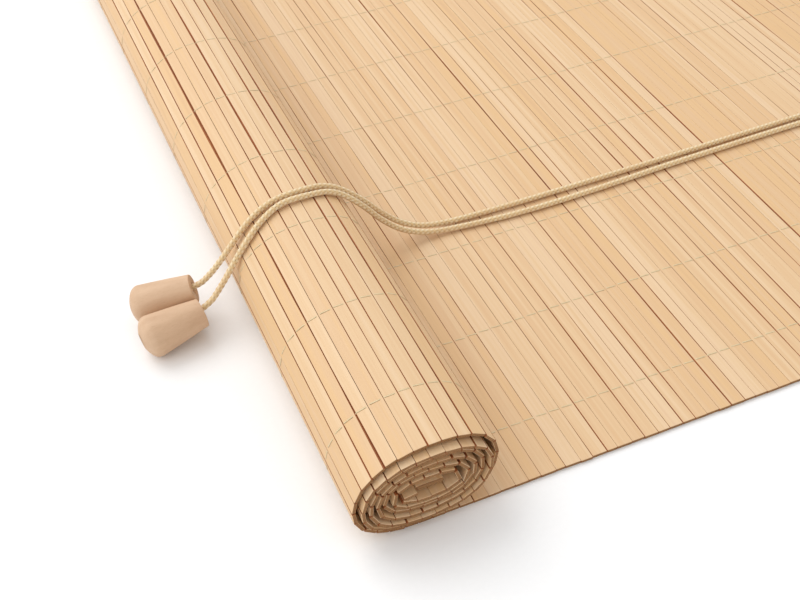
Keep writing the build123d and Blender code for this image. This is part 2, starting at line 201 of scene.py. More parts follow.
# Materials
def bamboo_face():
    """Planed bamboo: each slat has its own tint, with long stripes and fine fibres in it."""
    nodes = Nodes("bamboo_face", Roughness=0.55)
    grain = nodes.attribute("grain").outputs["Vector"]
    tint = nodes.attribute("tint").outputs["Fac"]
    stripes = nodes.noise(nodes.scaled(grain, (0.34, 0.0035, 0.2)), detail=2.0)
    fibres = nodes.noise(nodes.scaled(grain, (3.2, 0.03, 3.2)), detail=4.0, roughness=0.65)
    own = nodes.math("MULTIPLY", tint, 0.55)
    striped = nodes.span(stripes, 0.3, 0.7, 0, 0.45)
    shade = nodes.math("ADD", own, striped)
    tone = nodes.ramp(
        shade,
        (
            (0.0, linear(218, 185, 148)),
            (1.0, linear(213, 175, 131)),
            (0.25, linear(224, 194, 156)),
            (0.45, linear(220, 187, 145)),
            (0.62, linear(216, 180, 138)),
            (0.8, linear(219, 182, 134)),
        ),
    )
    fine = nodes.span(fibres, 0.3, 0.75, 0.0, 0.16)
    colour = nodes.blend(fine, tone, linear(186, 138, 94))
    rough = nodes.span(fibres, 0.3, 0.7, 0.48, 0.66)
    return nodes.finish(colour, rough, fibres, 0.06 * MM)


def bamboo_end():
    """A slat's sawn end: darker, partly from the end grain's own colour and partly from painted
    shade, with the dots of its fibre bundles.
    """
    nodes = Nodes("bamboo_end", Roughness=0.8)
    grain = nodes.attribute("grain").outputs["Vector"]
    dots = nodes.noise(nodes.scaled(grain, (2.6, 0.5, 2.6)), detail=3.0, roughness=0.7)
    # these dark stops hold painted shade of the ends that face away from the light, over the end
    # grain's own darker tan
    colour = nodes.ramp(dots, ((0.3, linear(106, 66, 30)), (0.7, linear(168, 122, 74))))
    return nodes.finish(colour, None, dots, 0.1 * MM)


def bamboo_side():
    """A slat's split side, browner than its faces: partly the side's own colour and partly painted
    shade for the gaps between the slats.
    """
    nodes = Nodes("bamboo_side", Roughness=0.75)
    grain = nodes.attribute("grain").outputs["Vector"]
    fibres = nodes.noise(nodes.scaled(grain, (2.0, 0.03, 2.0)), detail=3.0, roughness=0.65)
    # these dark browns hold painted shade for the gaps between slats, over the split side's own
    # colour
    colour = nodes.ramp(fibres, ((0.3, linear(122, 60, 24)), (0.7, linear(172, 102, 50))))
    return nodes.finish(colour, None, fibres, 0.08 * MM)


def thread_fibre():
    """Pale warp thread with a faint twist."""
    nodes = Nodes("thread_fibre", Roughness=0.5)
    place = nodes.place()
    twist = nodes.noise(nodes.scaled(place, (900, 900, 900)), detail=2.0)
    colour = nodes.ramp(twist, ((0.3, linear(206, 184, 142)), (0.7, linear(218, 198, 158))))
    return nodes.finish(colour, None, twist, 0.05 * MM)


# cord colours by the strands' height: the low stops are painted shade between the strands, the high
# ones the cotton's own pale colour
CORD_PALE = (
    (0.0, linear(120, 76, 38)),
    (1.0, linear(242, 226, 192)),
    (0.5, linear(216, 188, 144)),
)
CORD_TAN = (
    (0.0, linear(112, 70, 34)),
    (1.0, linear(230, 202, 152)),
    (0.5, linear(194, 160, 112)),
)


def cord_cotton():
    """Braided cotton: paler on the strands' crowns, and darker down into painted shade between
    them.
    """
    nodes = Nodes("cord_cotton", Roughness=0.85, Sheen_Weight=0.25, Sheen_Roughness=0.5)
    place = nodes.place()
    relief = nodes.attribute("relief").outputs["Fac"]
    fluff = nodes.noise(nodes.scaled(place, (2400, 2400, 2400)), detail=4.0, roughness=0.7)
    slow = nodes.noise(nodes.scaled(place, (60, 60, 60)), detail=2.0)
    family = nodes.attribute("family").outputs["Fac"]
    pale = nodes.ramp(relief, CORD_PALE)
    tan = nodes.ramp(relief, CORD_TAN)
    tone = nodes.blend(family, pale, tan)
    warm = nodes.blend(nodes.span(slow, 0.35, 0.7, 0.0, 0.3), tone, linear(220, 178, 130))
    colour = nodes.blend(nodes.span(fluff, 0.4, 0.75, 0, 0.25), warm, linear(176, 134, 86))
    return nodes.finish(colour, None, fluff, 0.12 * MM)


def turned_wood():
    """Raw turned beech: pinkish tan, with flecks along the grain."""
    nodes = Nodes("turned_wood", Roughness=0.62)
    grain = nodes.attribute("grain").outputs["Vector"]
    slow = nodes.noise(nodes.scaled(grain, (0.05, 0.16, 0.16)), detail=3.0)
    flecks = nodes.noise(nodes.scaled(grain, (0.35, 2.6, 2.6)), detail=3.0, roughness=0.6)
    tone = nodes.ramp(slow, ((0.3, linear(198, 163, 131)), (0.7, linear(211, 178, 146))))
    colour = nodes.blend(nodes.span(flecks, 0.55, 0.8, 0.0, 0.3), tone, linear(164, 122, 90))
    rough = nodes.span(flecks, 0.3, 0.7, 0.55, 0.72)
    return nodes.finish(colour, rough, flecks, 0.03 * MM)


def plain_wood():
    """The head batten's planed wood, with long grain lines."""
    nodes = Nodes("plain_wood", Roughness=0.6)
    place = nodes.place()
    bands = nodes.noise(nodes.scaled(place, (170, 3.2, 170)), detail=3.0, roughness=0.6)
    pores = nodes.noise(nodes.scaled(place, (1500, 22, 1500)), detail=3.0)
    tone = nodes.ramp(
        bands,
        (
            (0.25, linear(222, 180, 128)),
            (0.75, linear(243, 212, 168)),
            (0.5, linear(236, 198, 148)),
        ),
    )
    colour = nodes.blend(nodes.span(pores, 0.5, 0.8, 0, 0.35), tone, linear(186, 138, 88))
    return nodes.finish(colour, nodes.span(pores, 0.3, 0.7, 0.5, 0.7), pores, 0.08 * MM)


def zinc(name, scratch_scale):
    """Zinc plate: faint spangle, fine scratches along the sheet."""
    nodes = Nodes(name, Metallic=1.0, Roughness=0.38)
    place = nodes.place()
    cells = nodes.add("ShaderNodeTexVoronoi", {"Vector": place, "Scale": 420.0})
    scratches = nodes.noise(nodes.scaled(place, scratch_scale), detail=4.0, roughness=0.7)
    tone = nodes.ramp(
        cells.outputs["Color"], ((0.0, (0.27, 0.28, 0.29)), (1.0, (0.40, 0.41, 0.42)))
    )
    rough = nodes.span(scratches, 0.25, 0.75, 0.28, 0.5)
    return nodes.finish(tone, rough, scratches, 0.02 * MM)


def moulded(name, low, high, roughness):
    """Moulded plastic with a faint cloudiness and a fine eggshell surface."""
    nodes = Nodes(name, Roughness=roughness)
    place = nodes.place()
    cloud = nodes.noise(nodes.scaled(place, (90, 90, 90)), detail=2.0)
    skin = nodes.noise(nodes.scaled(place, (3000, 3000, 3000)), detail=2.0)
    colour = nodes.ramp(cloud, ((0.3, low), (0.7, high)))
    rough = nodes.span(skin, 0.3, 0.7, roughness - 0.05, roughness + 0.1)
    return nodes.finish(colour, rough, skin, 0.02 * MM)


def brass():
    """The eyelets' brass, a little worn."""
    nodes = Nodes("brass", Metallic=1.0, Roughness=0.32)
    place = nodes.place()
    wear = nodes.noise(nodes.scaled(place, (700, 700, 700)), detail=3.0)
    colour = nodes.ramp(wear, ((0.3, linear(190, 150, 82)), (0.7, linear(226, 190, 118))))
    return nodes.finish(colour, nodes.span(wear, 0.3, 0.7, 0.25, 0.45), wear, 0.02 * MM)


def lath_wood():
    """The bottom lath's bamboo, like the slats'."""
    nodes = Nodes("lath_wood", Roughness=0.6)
    place = nodes.place()
    stripes = nodes.noise(nodes.scaled(place, (340, 3.5, 340)), detail=3.0)
    fibres = nodes.noise(nodes.scaled(place, (3200, 30, 3200)), detail=3.0)
    tone = nodes.ramp(stripes, ((0.3, linear(243, 216, 180)), (0.7, linear(232, 192, 142))))
    colour = nodes.blend(nodes.span(fibres, 0.3, 0.75, 0, 0.2), tone, linear(196, 150, 100))
    return nodes.finish(colour, None, fibres, 0.08 * MM)


def lath_end():
    """The bottom lath's sawn ends, like the slats': darker, partly from the end grain's own colour
    and partly from painted shade.
    """
    nodes = Nodes("lath_end", Roughness=0.8)
    dots = nodes.noise(nodes.scaled(nodes.place(), (2600, 500, 2600)), detail=3.0, roughness=0.7)
    # these dark stops hold painted shade of the core's end, over the end grain's own darker tan
    colour = nodes.ramp(dots, ((0.3, linear(106, 66, 30)), (0.7, linear(160, 116, 70))))
    return nodes.finish(colour, None, dots, 0.1 * MM)


def floor_paper():
    """Plain pale studio paper."""
    nodes = Nodes("floor_paper", Roughness=0.9)
    tooth = nodes.noise(nodes.scaled(nodes.place(), (400, 400, 400)), detail=2.0)
    colour = nodes.ramp(tooth, ((0.0, (0.88, 0.88, 0.88)), (1.0, (0.91, 0.91, 0.91))))
    return nodes.finish(colour)


BAMBOO = bamboo_face()
BAMBOO_END = bamboo_end()
BAMBOO_SIDE = bamboo_side()
THREAD = thread_fibre()
COTTON = cord_cotton()
TURNED = turned_wood()
PLAIN_WOOD = plain_wood()
PLATE_ZINC = zinc("plate_zinc", (300, 5000, 5000))
SCREW_ZINC = zinc("screw_zinc", (5000, 5000, 600))
BOX_PLASTIC = moulded("cream_plastic", linear(226, 212, 182), linear(236, 224, 198), 0.42)
WHEEL_PLASTIC = moulded("white_plastic", linear(232, 230, 222), linear(240, 238, 232), 0.35)
BRASS = brass()
LATH = lath_wood()
LATH_END = lath_end()


# Pull cords: the same points as the CAD's, with X from the roll's middle
CORD_LEVEL = 3.7 * MM
EYELET_LEVEL = 7.15 * MM
CORD_LINES = {"far": -0.1335, "near": -0.1415}
EXIT_LEAD = 12 * MM
LANDING_LEAD = 36 * MM
CORD_BENDS = {
    "far": [
        (0.2340, -0.1342, CORD_LEVEL),
        (0.1500, -0.1336, CORD_LEVEL),
        (0.0960, -0.1324, CORD_LEVEL),
        (0.0730, -0.1310, 0.0046),
        (0.0595, -0.1300, 0.0106),
        (0.0485, -0.1292, 0.0214),
        (0.0382, -0.1284, 0.0344),
        (0.0238, -0.1259, 0.0459),
        (0.0075, -0.1289, 0.0495),
        (-0.0071, -0.1296, 0.0488),
        (-0.0200, -0.1335, 0.0440),
        (-0.0297, -0.1372, 0.0368),
        (-0.0374, -0.1386, 0.0293),
        (-0.0437, -0.1381, 0.0226),
    ],
    "near": [
        (0.2310, -0.1392, CORD_LEVEL),
        (0.1680, -0.1416, CORD_LEVEL),
        (0.1220, -0.1414, CORD_LEVEL),
        (0.0940, -0.1386, CORD_LEVEL),
        (0.0710, -0.1362, 0.0048),
        (0.0575, -0.1354, 0.0108),
        (0.0465, -0.1348, 0.0214),
        (0.0372, -0.1342, 0.0344),
        (0.0248, -0.1310, 0.0454),
        (0.0095, -0.1339, 0.0493),
        (-0.0034, -0.1339, 0.0493),
        (-0.0154, -0.1391, 0.0460),
        (-0.0241, -0.1441, 0.0413),
        (-0.0308, -0.1455, 0.0341),
        (-0.0388, -0.1470, 0.0238),
    ],
}

# Tassels: the middle of each small end, from the roll's middle, its heading and its rise
TASSEL_SPOTS = {"far": (-0.0523, -0.1367, 167.7, 13.6), "near": (-0.0526, -0.1511, 186.8, 5.1)}
TASSEL_SMALL = 7.1 * MM
TASSEL_LARGE = 10.5 * MM
TASSEL_FLARE = 25.4 * MM
TASSEL_LENGTH = 32.0 * MM
TASSEL_SHOULDER = 4.8 * MM    # radius between the flare and the blunt dome
SHOULDER_LINE = TASSEL_LARGE - TASSEL_SHOULDER
KNOT_SEAT = 23.0 * MM
BORE_LEAD = 1.5 * MM


def tassel_axes(name):
    """The middle of the small end, and the directions along, across and up from the axis."""
    run, line, heading, rise = TASSEL_SPOTS[name]
    turn = radians(heading)
    slope = radians(rise)
    lift = TASSEL_FLARE * sin(slope) + SHOULDER_LINE * cos(slope) + TASSEL_SHOULDER
    start = Vector((roll_x + run, line, lift))
    axis = Vector((cos(turn) * cos(slope), sin(turn) * cos(slope), -sin(slope)))
    across = Vector((-sin(turn), cos(turn), 0))
    return start, axis, across, axis.cross(across)


def cord_route(name):
    """The cord's points, from its pulley wheel to the knot in its tassel."""
    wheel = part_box("pulley_wheel_" + name)
    wheel_x = (wheel[0].x + wheel[1].x) / 2
    box_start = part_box("pair_pulley_box")[0].x
    line = CORD_LINES[name]
    start, axis, _, _ = tassel_axes(name)
    points = [
        Vector((wheel_x, line, EYELET_LEVEL)),
        Vector((box_start - EXIT_LEAD, line, EYELET_LEVEL)),
        Vector((box_start - LANDING_LEAD, line, CORD_LEVEL)),
    ]
    points += [Vector((roll_x + run, y, z)) for run, y, z in CORD_BENDS[name]]
    points.append(start - axis * BORE_LEAD)
    points.append(start + axis * KNOT_SEAT)
    return points


SPLINE_FINENESS = 48          # steps between two of a route's points


def spline_points(route):
    """Points along the smooth NURBS line that the route's points control."""
    curve = bpy.data.curves.new("route", "CURVE")
    curve.dimensions = "3D"
    curve.resolution_u = SPLINE_FINENESS
    spline = curve.splines.new("NURBS")
    spline.points.add(len(route) - 1)
    for control, place in zip(spline.points, route):
        control.co = (*place, 1)
    spline.order_u = 3
    spline.use_endpoint_u = True
    holder = bpy.data.objects.new("route", curve)
    line = bpy.data.meshes.new_from_object(holder)
    points = np.array([vertex.co for vertex in line.vertices])
    bpy.data.objects.remove(holder)
    bpy.data.curves.remove(curve)
    bpy.data.meshes.remove(line)
    return points


def evenly(points, step):
    """Places a step apart along a line of points."""
    runs = np.linalg.norm(np.diff(points, axis=0), axis=1)
    reached = np.concatenate(([0.0], np.cumsum(runs)))
    count = max(2, round(reached[-1] / step) + 1)
    wanted = np.linspace(0, reached[-1], count)
    return np.stack([np.interp(wanted, reached, points[:, i]) for i in range(3)], axis=1), wanted


def steady_frames(points):
    """Two directions across a line at each of its points, which turn as little as they can."""
    tangents = np.gradient(points, axis=0)
    tangents /= np.linalg.norm(tangents, axis=1)[:, None]
    first = np.cross(tangents[0], (0.0, 0.0, 1.0))
    first /= np.linalg.norm(first)
    firsts = []
    for tangent in tangents:
        first = first - tangent * np.dot(first, tangent)
        first /= np.linalg.norm(first)
        firsts.append(first)
    firsts = np.array(firsts)
    return firsts, np.cross(tangents, firsts)


BRAID_SIDES = 24
BRAID_STEP = 0.43 * MM
BRAID_STRANDS = 4             # in each of the two directions
BRAID_LEAD = 10.6 * MM        # along the cord, for one strand's full turn
BRAID_CORE = 1.0 * MM
STRAND_CROWN = 0.43 * MM
STRAND_RISE = 0.11 * MM       # of a strand where it passes over the others


def braid_relief(angle, along):
    """The height over the core of a braid's strands, which pass over one and under one, and
    which of the two families of strands is on top."""
    turns = angle / (2 * pi)
    right = BRAID_STRANDS * (turns - along / BRAID_LEAD)
    left = BRAID_STRANDS * (turns + along / BRAID_LEAD)

    def crown(place):
        return np.sqrt(np.clip(1 - (2 * (place % 1) - 1) ** 2, 0, 1))

    def parity(place):
        return 1 - 2 * (np.floor(place) % 2)

    over_right = parity(right) * np.sin(pi * left)
    over_left = -parity(left) * np.sin(pi * right)
    right_height = STRAND_CROWN * crown(right) + STRAND_RISE * over_right
    left_height = STRAND_CROWN * crown(left) + STRAND_RISE * over_left
    return np.maximum(right_height, left_height), (right_height > left_height).astype(float)


def pull_cord(name):
    """A braided cord along its route, from its wheel into its tassel."""
    path, reached = evenly(spline_points(cord_route(name)), BRAID_STEP)
    across, above = steady_frames(path)
    angles = np.arange(BRAID_SIDES) * 2 * pi / BRAID_SIDES
    relief, family = braid_relief(angles[None, :], reached[:, None])
    radii = BRAID_CORE + relief
    vertices = (
        path[:, None, :]
        + across[:, None, :] * (radii * np.cos(angles))[:, :, None]
        + above[:, None, :] * (radii * np.sin(angles))[:, :, None]
    )
    quads, caps = tube_faces(len(path), BRAID_SIDES)
    cord = make_piece("braided_cord_" + name, vertices.reshape(-1, 3), quads + caps, [COTTON])
    # the strands' height, by which the cord's colour is darkened as painted shade between the
    # strands
    heights = cord.data.attributes.new("relief", "FLOAT", "POINT")
    heights.data.foreach_set("value", (relief / (STRAND_CROWN + STRAND_RISE)).ravel())
    families = cord.data.attributes.new("family", "FLOAT", "POINT")
    families.data.foreach_set("value", family.ravel())
    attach(cord, "blind")
    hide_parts("pull_cord_" + name)


# Turned tassels
TASSEL_SIDES = 96
GRAIN_APART = 37.0            # millimetres between the two tassels' cuts from the same wood
BORE_RADIUS = 1.8 * MM
MOUTH_CURVE = (               # distance along the axis and radius, from the bore out
    (4.0 * MM, BORE_RADIUS),
    (1.2 * MM, 2.55 * MM),
    (0.25 * MM, 2.95 * MM),
    (0.0, 3.25 * MM),
)
KNOT_BORE_RADIUS = 3.8 * MM
KNOT_BORE_EDGE = 0.3 * MM
END_EDGE = 0.35 * MM
FLARE_BELLY = 0.1 * MM
FLARE_STEPS = 10
DOME_RISE = TASSEL_LENGTH - TASSEL_FLARE
DOME_RADIUS = (DOME_RISE**2 + SHOULDER_LINE**2 - TASSEL_SHOULDER**2) / (
    2 * (DOME_RISE - TASSEL_SHOULDER)
)
dome_middle = TASSEL_LENGTH - DOME_RADIUS
dome_turn = atan2(SHOULDER_LINE, TASSEL_FLARE - dome_middle)
rim_turn = asin((KNOT_BORE_RADIUS + KNOT_BORE_EDGE) / DOME_RADIUS)


def arc(middle, radius, start, end, steps):
    """Points on an arc about a middle, between two turns."""
    turns = np.linspace(start, end, steps)
    return [(middle[0] + radius * cos(turn), middle[1] + radius * sin(turn)) for turn in turns]


def tassel_outline():
    """Distance along the axis and radius: the mouth, the flare, the dome and back up the bore."""
    outline = list(MOUTH_CURVE)
    outline += arc((END_EDGE, TASSEL_SMALL - END_EDGE), END_EDGE, pi, pi / 2, 5)
    for step in range(1, FLARE_STEPS):
        share = step / FLARE_STEPS
        belly = FLARE_BELLY * sin(pi * share)
        along = END_EDGE + (TASSEL_FLARE - END_EDGE) * share
        outline.append((along, TASSEL_SMALL + (TASSEL_LARGE - TASSEL_SMALL) * share + belly))
    outline += arc((TASSEL_FLARE, SHOULDER_LINE), TASSEL_SHOULDER, pi / 2, dome_turn, 9)
    outline += arc((dome_middle, 0), DOME_RADIUS, dome_turn, rim_turn, 8)[1:]
    rim = outline[-1][0]
    outline.append((rim - 0.1 * MM, KNOT_BORE_RADIUS))
    outline.append((KNOT_SEAT, KNOT_BORE_RADIUS))
    outline.append((KNOT_SEAT, BORE_RADIUS))
    return np.array(outline)


def tassel(name, seed):
    """A turned tassel: its outline swept round its axis, closed through its bore."""
    outline = tassel_outline()
    start, axis, across, above = (np.array(v) for v in tassel_axes(name))
    angles = np.arange(TASSEL_SIDES) * 2 * pi / TASSEL_SIDES
    along = np.repeat(outline[:, 0], TASSEL_SIDES)
    radius = np.repeat(outline[:, 1], TASSEL_SIDES)
    turns = np.tile(angles, len(outline))
    local = np.stack([along, radius * np.cos(turns), radius * np.sin(turns)], axis=1)
    vertices = (
        start
        + local[:, 0:1] * axis
        + local[:, 1:2] * across
        + local[:, 2:3] * above
    )
    quads, _ = tube_faces(len(outline), TASSEL_SIDES)
    last = (len(outline) - 1) * TASSEL_SIDES
    for side in range(TASSEL_SIDES):
        other = (side + 1) % TASSEL_SIDES
        quads.append((last + side, last + other, other, side))
    piece = make_piece("wood_tassel_" + name, vertices, quads, [TURNED])
    grain = piece.data.attributes.new("grain", "FLOAT_VECTOR", "POINT")
    grain.data.foreach_set("vector", (local / MM + GRAIN_APART * seed).ravel())
    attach(piece, "blind")
    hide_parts("tassel_" + name)


tassel("far", 1)
tassel("near", 2)
for name in ("far", "near"):
    pull_cord(name)


# The slats' places, read from the CAD: each as its middle and the way that the mat runs there
SLAT_THICKNESS = 1.6 * MM
SLAT_PITCH = 6.25 * MM
SAME_POINT = 0.15 * MM        # how far the slats' near ends may be from one plane


def slat_middles(node):
    """The middle of each slat of a node, seen along Y, and the direction of its width."""
    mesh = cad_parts[node].data
    near_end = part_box(node)[0].y + SAME_POINT
    groups = []
    for polygon in mesh.polygons:
        indices = set(polygon.vertices)
        if max(mesh.vertices[index].co.y for index in indices) > near_end:
            continue
        joined = [group for group in groups if group & indices]
        groups = [group for group in groups if not group & indices]
        groups.append(indices.union(*joined))
    found = []
    for group in groups:
        corners = np.array([(mesh.vertices[i].co.x, mesh.vertices[i].co.z) for i in group])
        middle = corners.mean(axis=0)
        _, directions = np.linalg.eigh(np.cov((corners - middle).T))
        found.append((middle, directions[:, 1]))
    return found


def face_side(along):
    """The mat's face side, where the mat runs along a direction."""
    return np.array([along[1], -along[0]])


def mat_order():
    """Every slat from the head batten, along the flat mat and round the roll to its core."""
    flat = sorted(slat_middles("flat_slats"), key=lambda slat: -slat[0][0])
    order = [(middle, np.array([-1.0, 0.0])) for middle, _ in flat]
    rolled = slat_middles("rolled_slats")
    last, along = order[-1]
    joint = last + along * SLAT_PITCH / 2 + face_side(along) * SLAT_THICKNESS / 2
    while rolled:
        best = None
        for index, (middle, direction) in enumerate(rolled):
            for way in (direction, -direction):
                inner = middle + face_side(way) * SLAT_THICKNESS / 2
                miss = np.linalg.norm(inner - way * SLAT_PITCH / 2 - joint)
                if best is None or miss < best[0]:
                    best = (miss, index, way)
        _, index, way = best
        middle, _ = rolled.pop(index)
        order.append((middle, way))
        joint = middle + way * SLAT_PITCH / 2 + face_side(way) * SLAT_THICKNESS / 2
    return order, len(flat)


mat, flat_count = mat_order()


# How each slat differs from its neighbours
FLAT_SHIFT = (0.5 * MM, 1.1 * MM)      # of the line between two slats: its spread and limit
ROLLED_SHIFT = (0.26 * MM, 0.55 * MM)
# Each kind of line: its upper share of the draw, then its least and greatest half width in mm
LINE_KINDS = ((0.3, 0.03, 0.06), (0.75, 0.09, 0.18), (1.0, 0.19, 0.29))
ROLLED_WIDER = 1.3            # lines on the roll, which its bend opens
LINE_WAVE = 0.10 * MM
SHIFT_PERIODS = (0.9, 0.41, 0.17)      # metres along the slats, as all periods here
OPENING_WAVE = 1.4            # of a line's width along it, as a share of that width
OPENING_PERIODS = (0.75, 0.33, 0.12)
OPENING_LIMITS = (0.15, 2.2)
OPEN_HALF = 0.035 * MM        # of a line's width, where light falls through
ROLLED_COVER = 0.06 * MM      # by which rolled slats are wider at their outer faces
END_BEVEL = 0.14 * MM
LEAST_BEVEL = 0.02 * MM
END_SPREAD = 0.1 * MM         # of the slats' sawn ends about their place
LIFT_WAVE = 0.04 * MM
LIFT_PERIODS = (0.8, 0.3)
ROLLED_LIFT = 2.5             # times as uneven as the flat slats
TILT_SPREAD = {"flat": 0.010, "rolled": 0.022}
TILT_WAVE = 0.006
TILT_PERIODS = (0.6, 0.25)
THICKNESS_SPREAD = 0.02       # millimetres
LINE_SEED = 1000
SLAT_SEED = 5000
SAWN_SIDES = (1, 2, 3, 5, 6, 7)        # of the eight long faces round a slat
STATIONS = {"flat": 40, "rolled": 62}
slat_ends = (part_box("flat_slats")[0].y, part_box("flat_slats")[1].y)


def gap_at(index, places):
    """The line before a slat: its shift and half its width, along the places."""
    rng = np.random.default_rng(LINE_SEED + index)
    spread, limit = FLAT_SHIFT if index < flat_count else ROLLED_SHIFT
    shift = np.clip(rng.normal(0, spread), -limit, limit)
    shift = shift + LINE_WAVE * waves(rng, places, SHIFT_PERIODS)
    draw = rng.random()
    least, greatest = next(kind[1:] for kind in LINE_KINDS if draw < kind[0])
    half = rng.uniform(least, greatest) * MM
    if index >= flat_count:
        half = ROLLED_WIDER * half
    opening = 1 + OPENING_WAVE * waves(rng, places, OPENING_PERIODS)
    return shift, half * np.clip(opening, *OPENING_LIMITS)


TELESCOPE = (0.0, 0.2, 0.9, 3.6, 3.0, 1.6, 2.4, 1.2, 2.0)      # millimetres, from the outside in
TELESCOPE_SLATS = 12.4        # from one of these to the next


def telescoped(index):
    """How far along Y a rolled slat is shifted, which its turn sets."""
    place = max(0, index - flat_count) / TELESCOPE_SLATS
    return -np.interp(place, np.arange(len(TELESCOPE)), TELESCOPE) * MM


def slat_vertices(index):
    """A slat's rings of corners along its length, with the places that its grain is laid by."""
    rng = np.random.default_rng(SLAT_SEED + index)
    middle, along = mat[index]
    face = face_side(along)
    rolled = index >= flat_count
    kind = "rolled" if rolled else "flat"
    count = STATIONS[kind]
    shift = telescoped(index)
    start = slat_ends[0] + shift + rng.normal(0, END_SPREAD)
    end = slat_ends[1] + shift + rng.normal(0, END_SPREAD)
    between = np.linspace(start, end, count)[1:-1]
    places = np.concatenate(([start, start + END_BEVEL], between, [end - END_BEVEL, end]))
    before_shift, before_half = gap_at(index, places)
    after_shift, after_half = gap_at(index + 1, places)
    low = -SLAT_PITCH / 2 + before_shift + np.minimum(before_half, OPEN_HALF)
    high = SLAT_PITCH / 2 + after_shift - np.minimum(after_half, OPEN_HALF)
    low_bevel = np.maximum(before_half - OPEN_HALF, LEAST_BEVEL)
    high_bevel = np.maximum(after_half - OPEN_HALF, LEAST_BEVEL)
    cover = ROLLED_COVER if rolled else 0.0
    lift = LIFT_WAVE * waves(rng, places, LIFT_PERIODS)
    if rolled:
        lift = lift * ROLLED_LIFT
    tilt = rng.normal(0, TILT_SPREAD[kind])
    tilt = tilt + TILT_WAVE * waves(rng, places, TILT_PERIODS)
    half = SLAT_THICKNESS / 2 - np.abs(rng.normal(0, THICKNESS_SPREAD)) * MM
    shrink = np.zeros(len(places))
    shrink[[0, -1]] = END_BEVEL
    left = low + shrink
    right = high - shrink
    down = -half + shrink
    up = half - shrink
    outline = [
        (left + low_bevel - cover, down),
        (right - high_bevel + cover, down),
        (right + cover, down + high_bevel),
        (right, up - high_bevel),
        (right - high_bevel, up),
        (left + low_bevel, up),
        (left, up - low_bevel),
        (left - cover, down + low_bevel),
    ]
    rings = []
    grain = []
    offset = rng.uniform(0, 900, 3)
    for across, height in outline:
        rise = height + lift + across * tilt
        x = middle[0] + across * along[0] + rise * face[0]
        z = middle[1] + across * along[1] + rise * face[1]
        rings.append(np.stack([x, places, z], axis=1))
        spot = np.stack([across, places, height], axis=1) / MM
        grain.append(spot + offset)
    return np.stack(rings, axis=1), np.stack(grain, axis=1), rng.random()


FACE_KIND = 0                 # places in the slats' list of materials
END_KIND = 1
SIDE_KIND = 2


def slat_piece(name, node, indices):
    """All the slats of one CAD node as one piece, with their grain and tints."""
    vertices = []
    grains = []
    tints = []
    faces = []
    kinds = []
    first = 0
    for index in indices:
        rings, grain, tint = slat_vertices(index)
        count, sides, _ = rings.shape
        quads, caps = tube_faces(count, sides, first)
        faces += quads + caps
        # the split sides and bevels take the side colour, which holds painted shade for the gaps
        # between slats
        around = [SIDE_KIND if side in SAWN_SIDES else FACE_KIND for side in range(sides)]
        # the sawn ends take the end colour, which holds painted shade
        kinds += around * (count - 1) + [END_KIND] * len(caps)
        first += count * sides
        vertices.append(rings.reshape(-1, 3))
        grains.append(grain.reshape(-1, 3))
        tints.append(np.full(count * sides, tint))
    materials = [BAMBOO, BAMBOO_END, BAMBOO_SIDE]
    piece = make_piece(name, np.concatenate(vertices), faces, materials, False, kinds)
    grain = piece.data.attributes.new("grain", "FLOAT_VECTOR", "POINT")
    grain.data.foreach_set("vector", np.concatenate(grains).ravel())
    tint = piece.data.attributes.new("tint", "FLOAT", "POINT")
    tint.data.foreach_set("value", np.concatenate(tints))
    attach(piece, "blind")
    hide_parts(node)


slat_piece("flat_bamboo_slats", "flat_slats", range(flat_count))
slat_piece("rolled_bamboo_slats", "rolled_slats", range(flat_count, len(mat)))


# Warp threads: two strands on each line, which change sides in every gap
THREAD_PITCH = 60.0 * MM
THREAD_COUNT = 10
THREAD_HALF_WIDTH = 0.36 * MM
THREAD_HALF_HEIGHT = 0.08 * MM
THREAD_SIDES = 6
THREAD_SEED = 9000
DRIFT_START = 0.4             # millimetres along Y, from a thread's line, and its steps' spread
DRIFT_STEP = 0.14
DRIFT_KEPT = 0.9              # from one slat to the next
SLANT = 0.16 * MM
ON_SLAT = (-0.36, 0.0, 0.36)  # a strand's points on a slat, in slat pitches from its middle
THREAD_TAIL = 1.0 * MM        # short of the lath's edge
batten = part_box("head_batten")
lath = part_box("bottom_lath")


def strand_points(line, side, rng):
    """A strand's points seen along Y, from the head batten's far edge to the lath's end."""
    top = batten[1].z + THREAD_HALF_HEIGHT
    rest = batten[0].z - THREAD_HALF_HEIGHT
    outer = batten[1].x + THREAD_HALF_HEIGHT
    inner = batten[0].x - THREAD_HALF_HEIGHT
    if side > 0:
        points = [(outer, rest), (outer, top), (inner, top), (inner, batten[0].z + SLAT_THICKNESS)]
    else:
        points = [(outer, rest + THREAD_HALF_HEIGHT), (inner, rest)]
    lines = [line] * len(points)
    drift = rng.uniform(-DRIFT_START, DRIFT_START) * MM
    for middle, along in mat:
        face = face_side(along)
        drift = DRIFT_KEPT * drift + rng.normal(0, DRIFT_STEP) * MM
        height = side * (SLAT_THICKNESS / 2 + THREAD_HALF_HEIGHT)
        slant = side * SLANT
        points.append(middle - along * SLAT_PITCH / 2)
        lines.append(line + drift)
        for step in ON_SLAT:
            points.append(middle + along * SLAT_PITCH * step + face * height)
            lines.append(line + drift + slant * np.sign(step))
        side = -side
    lath_height = lath[0].z - THREAD_HALF_HEIGHT
    if side < 0:
        lath_height = lath[1].z + THREAD_HALF_HEIGHT
    points += [(lath[0].x, lath_height), (lath[1].x - THREAD_TAIL, lath_height)]
    lines += [line + drift] * 2
    return np.array([(point[0], y, point[1]) for point, y in zip(points, lines)])


